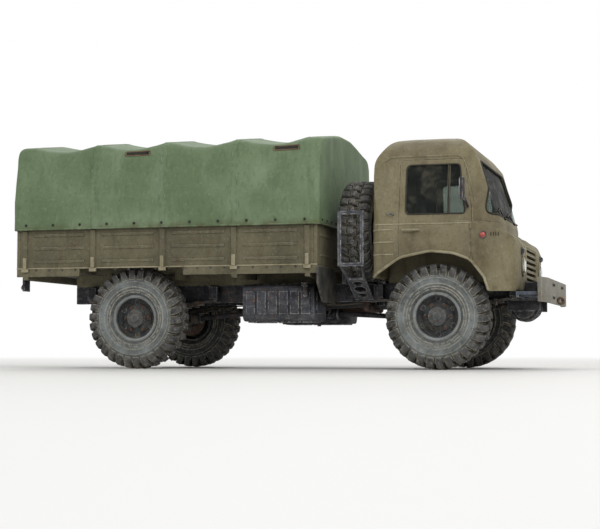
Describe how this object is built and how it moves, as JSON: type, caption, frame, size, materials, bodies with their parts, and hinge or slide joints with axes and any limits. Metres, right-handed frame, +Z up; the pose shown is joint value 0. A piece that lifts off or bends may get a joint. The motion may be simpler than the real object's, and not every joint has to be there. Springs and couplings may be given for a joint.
{
  "type": "scale model of a forward-control military cargo truck",
  "caption": "Moulded plastic scale model of a four-wheel-drive cargo truck with a canvas-covered bed; the wheels roll and the front wheels steer together.",
  "frame": {"origin": "on the ground under the middle of the model's bounding box", "axes": "+X towards the front bumper, +Y to the truck's left, +Z up"},
  "size_m": [0.1678, 0.0748, 0.073],
  "materials": {
    "cab_paint": "matt khaki olive paint, worn",
    "bed_paint": "matt olive paint, dusty",
    "canvas_green": "matt green paint on a moulded cover",
    "inner_paint": "matt dark olive paint",
    "chassis_paint": "matt blue-black paint with rust and dust",
    "bumper_paint": "matt grey-beige paint, scuffed",
    "rusty_paint": "matt rust-brown paint",
    "wheel_paint": "matt dark grey paint with rust",
    "tyre_rubber": "matt rubber with dust in the tread",
    "flap_black": "matt black",
    "clear_plastic": "clear",
    "lamp_clear": "clear lens",
    "cable_wire": "dull wire"
  },
  "bodies": {
    "chassis": {"frame_rails": "chassis_paint", "frame_crossmembers": "chassis_paint", "front_bumper": "bumper_paint", "bumper_aprons": "bumper_paint", "winch": "chassis_paint", "winch_cable": "cable_wire", "front_axle": "chassis_paint", "rear_axle": "chassis_paint", "leaf_springs": "rusty_paint", "spring_brackets": "chassis_paint", "engine": "rusty_paint", "radiator": "chassis_paint", "gearbox": "chassis_paint", "transfer_case": "chassis_paint", "propshafts": "chassis_paint", "exhaust": "rusty_paint", "fuel_tank_right": "chassis_paint", "fuel_tank_left": "chassis_paint", "tank_filler": "chassis_paint", "air_reservoirs": "rusty_paint", "heater_canister": "chassis_paint", "battery_box": "chassis_paint", "spare_rack": "chassis_paint", "spare_tyre": "tyre_rubber", "spare_rim": "wheel_paint", "mud_flaps": "flap_black", "tow_hitch": "chassis_paint", "bed_floor": "bed_paint", "bed_front_wall": "bed_paint", "bed_side_right": "bed_paint", "bed_side_left": "bed_paint", "tailgate": "bed_paint", "canvas_bows": "inner_paint", "canvas_cover": "canvas_green", "cab_shell": "cab_paint", "cab_nose": "cab_paint", "cab_floor": "inner_paint", "door_right": "cab_paint", "door_left": "cab_paint", "cab_glass": "clear_plastic", "seats": "inner_paint", "dashboard": "inner_paint", "lamps": "lamp_clear", "mirrors": "chassis_paint"},
    "knuckle_left": {"knuckle_left": "chassis_paint"},
    "knuckle_right": {"knuckle_right": "chassis_paint"},
    "tie_rod": {"tie_rod": "chassis_paint"},
    "wheel_front_right": {"tyre_fr": "tyre_rubber", "rim_fr": "wheel_paint"},
    "wheel_front_left": {"tyre_fl": "tyre_rubber", "rim_fl": "wheel_paint"},
    "wheel_rear_right": {"tyre_rr": "tyre_rubber", "rim_rr": "wheel_paint"},
    "wheel_rear_left": {"tyre_rl": "tyre_rubber", "rim_rl": "wheel_paint"}
  },
  "joints": [
    {"name": "steer_left", "type": "hinge", "parent": "chassis", "child": "knuckle_left", "pos_m": [0.04965, 0.0186, 0.0155], "axis": [0, 0, 1], "range_deg": [-20, 20]},
    {"name": "steer_right", "type": "hinge", "parent": "chassis", "child": "knuckle_right", "pos_m": [0.04965, -0.0186, 0.0155], "axis": [0, 0, 1], "range_deg": [-20, 20]},
    {"name": "tie_rod_pivot", "type": "hinge", "parent": "knuckle_left", "child": "tie_rod", "pos_m": [0.04365, 0.0186, 0.0155], "axis": [0, 0, 1], "range_deg": [-20, 20]},
    {"name": "wheel_front_left_spin", "type": "hinge", "parent": "knuckle_left", "child": "wheel_front_left", "pos_m": [0.04965, 0.0255, 0.0155], "axis": [0, 1, 0], "continuous": true},
    {"name": "wheel_front_right_spin", "type": "hinge", "parent": "knuckle_right", "child": "wheel_front_right", "pos_m": [0.04965, -0.0255, 0.0155], "axis": [0, 1, 0], "continuous": true},
    {"name": "wheel_rear_left_spin", "type": "hinge", "parent": "chassis", "child": "wheel_rear_left", "pos_m": [-0.04465, 0.0255, 0.0155], "axis": [0, 1, 0], "continuous": true},
    {"name": "wheel_rear_right_spin", "type": "hinge", "parent": "chassis", "child": "wheel_rear_right", "pos_m": [-0.04465, -0.0255, 0.0155], "axis": [0, 1, 0], "continuous": true}
  ],
  "couplings": [
    {"joint": "steer_right", "follows": "steer_left", "ratio": 1},
    {"joint": "tie_rod_pivot", "follows": "steer_left", "ratio": -1}
  ]
}
